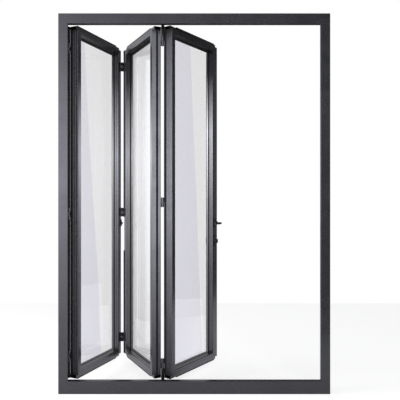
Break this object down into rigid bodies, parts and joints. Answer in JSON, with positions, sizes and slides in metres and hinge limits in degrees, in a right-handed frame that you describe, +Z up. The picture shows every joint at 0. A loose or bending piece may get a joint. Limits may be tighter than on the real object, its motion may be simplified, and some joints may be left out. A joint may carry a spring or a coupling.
{
  "type": "folding door",
  "caption": "Tall aluminium folding door: an outer frame with glazed leaves that fold outward on a roller carriage, and a lockable traffic leaf.",
  "frame": {"origin": "middle of the sill's underside, at the middle of the frame's depth", "axes": "+X along the opening towards the lock jamb, +Y outdoors, the way the leaves fold, +Z up"},
  "size_m": [1.5, 0.5038, 2.1],
  "materials": {
    "anthracite": "satin anthracite powder coat",
    "anthracite_bead": "satin anthracite powder coat",
    "black_rubber": "matt black",
    "clear_glass": "clear, slightly grey",
    "stainless": "brushed stainless steel",
    "dark_hardware": "satin dark bronze to black",
    "white_nylon": "off-white nylon"
  },
  "bodies": {
    "frame": {"hinge_jamb": "anthracite", "lock_jamb": "anthracite", "head": "anthracite", "sill": "anthracite", "hinge_jamb_gasket": "black_rubber", "lock_jamb_gasket": "black_rubber", "head_gasket": "black_rubber", "sill_gasket": "black_rubber", "bottom_running_rail": "stainless", "lock_keep": "stainless"},
    "leaf_1": {"leaf_1_left_stile": "anthracite", "leaf_1_right_stile": "anthracite", "leaf_1_top_rail": "anthracite", "leaf_1_bottom_rail": "anthracite", "leaf_1_glazing_bead": "anthracite_bead", "leaf_1_glazing_gasket": "black_rubber", "leaf_1_inner_pane": "clear_glass", "leaf_1_outer_pane": "clear_glass", "leaf_1_edge_seal": "black_rubber", "fold_hinge_bottom": "dark_hardware", "fold_hinge_middle": "dark_hardware", "fold_hinge_top": "dark_hardware", "shoot_bolt_plate": "dark_hardware", "shoot_bolt_gear_box": "stainless"},
    "shoot_bolt_handle": {"shoot_bolt_lever": "dark_hardware"},
    "top_bolt": {"top_shoot_bolt": "stainless"},
    "bottom_bolt": {"bottom_shoot_bolt": "stainless"},
    "leaf_2": {"leaf_2_left_stile": "anthracite", "leaf_2_right_stile": "anthracite", "leaf_2_top_rail": "anthracite", "leaf_2_bottom_rail": "anthracite", "leaf_2_glazing_bead": "anthracite_bead", "leaf_2_glazing_gasket": "black_rubber", "leaf_2_inner_pane": "clear_glass", "leaf_2_outer_pane": "clear_glass", "leaf_2_edge_seal": "black_rubber"},
    "carriage": {"bottom_carriage": "dark_hardware", "top_carriage": "dark_hardware"},
    "wheel_left": {"left_wheel": "white_nylon"},
    "wheel_right": {"right_wheel": "white_nylon"},
    "roller": {"guide_roller": "white_nylon"},
    "leaf_3": {"leaf_3_left_stile": "anthracite", "leaf_3_right_stile": "anthracite", "leaf_3_top_rail": "anthracite", "leaf_3_bottom_rail": "anthracite", "leaf_3_glazing_bead": "anthracite_bead", "leaf_3_glazing_gasket": "black_rubber", "leaf_3_inner_pane": "clear_glass", "leaf_3_outer_pane": "clear_glass", "lever_plate": "dark_hardware", "turn_plate": "dark_hardware", "outside_plate": "dark_hardware", "lock_case": "stainless"},
    "lever": {"lever_inside": "dark_hardware"},
    "latch": {"latch_bolt": "stainless"},
    "turn": {"thumb_turn": "dark_hardware", "key_cylinder": "stainless"},
    "dead_lock": {"dead_bolt": "stainless"}
  },
  "joints": [
    {"name": "fold", "type": "hinge", "parent": "frame", "child": "leaf_1", "pos_m": [-0.71, 0.0455, 1.05], "axis": [0, 0, 1], "range_deg": [-65, 15]},
    {"name": "outward_fold", "type": "hinge", "parent": "leaf_1", "child": "leaf_2", "pos_m": [-0.44247, 0.44412, 1.05], "axis": [0, 0, 1], "range_deg": [-30.5, 130.5]},
    {"name": "carriage_turn", "type": "hinge", "parent": "leaf_2", "child": "carriage", "pos_m": [-0.17494, 0.0455, 1.05], "axis": [0, 0, 1], "range_deg": [-65.5, 15.5]},
    {"name": "left_wheel_spin", "type": "hinge", "parent": "carriage", "child": "wheel_left", "pos_m": [-0.19694, 0.02, 0.0406], "axis": [0, 1, 0], "continuous": true},
    {"name": "right_wheel_spin", "type": "hinge", "parent": "carriage", "child": "wheel_right", "pos_m": [-0.15294, 0.02, 0.0406], "axis": [0, 1, 0], "continuous": true},
    {"name": "guide_roller_spin", "type": "hinge", "parent": "carriage", "child": "roller", "pos_m": [-0.17494, 0.02, 2.065], "axis": [0, 0, 1], "continuous": true},
    {"name": "leaf_3_swing", "type": "hinge", "parent": "carriage", "child": "leaf_3", "pos_m": [-0.17494, 0.0455, 1.05], "axis": [0, 0, 1], "range_deg": [-52.7, 35.3]},
    {"name": "lever_press", "type": "hinge", "parent": "leaf_3", "child": "lever", "pos_m": [0.14623, 0.36067, 0.925], "axis": [0.7955, -0.606, 0], "range_deg": [0, 40], "stiffness_Nm_per_rad": 1.2, "springref_deg": -17.19},
    {"name": "latch_slide", "type": "slide", "parent": "leaf_3", "child": "latch", "axis": [0.606, 0.7955, 0], "range_m": [-0.0092, 0.0002]},
    {"name": "thumb_turn_turn", "type": "hinge", "parent": "leaf_3", "child": "turn", "pos_m": [0.14623, 0.36067, 0.813], "axis": [0.7955, -0.606, 0], "range_deg": [0, 90]},
    {"name": "dead_bolt_slide", "type": "slide", "parent": "leaf_3", "child": "dead_lock", "axis": [0.606, 0.7955, 0], "range_m": [-0.0002, 0.0182]},
    {"name": "shoot_bolt_turn", "type": "hinge", "parent": "leaf_1", "child": "shoot_bolt_handle", "pos_m": [-0.45658, 0.43635, 0.924], "axis": [-0.9063, 0.4226, 0], "range_deg": [-52, 38]},
    {"name": "top_bolt_slide", "type": "slide", "parent": "leaf_1", "child": "top_bolt", "axis": [0, 0, 1], "range_m": [-0.0134, 0.0182]},
    {"name": "bottom_bolt_slide", "type": "slide", "parent": "leaf_1", "child": "bottom_bolt", "axis": [0, 0, -1], "range_m": [-0.0134, 0.0182]}
  ],
  "couplings": [
    {"joint": "outward_fold", "follows": "fold", "ratio": -2},
    {"joint": "carriage_turn", "follows": "fold", "ratio": 1},
    {"joint": "latch_slide", "follows": "lever_press", "m_per_rad": -0.012892},
    {"joint": "dead_bolt_slide", "follows": "thumb_turn_turn", "m_per_rad": 0.011459},
    {"joint": "top_bolt_slide", "follows": "shoot_bolt_turn", "m_per_rad": -0.019833},
    {"joint": "bottom_bolt_slide", "follows": "shoot_bolt_turn", "m_per_rad": -0.019833}
  ]
}
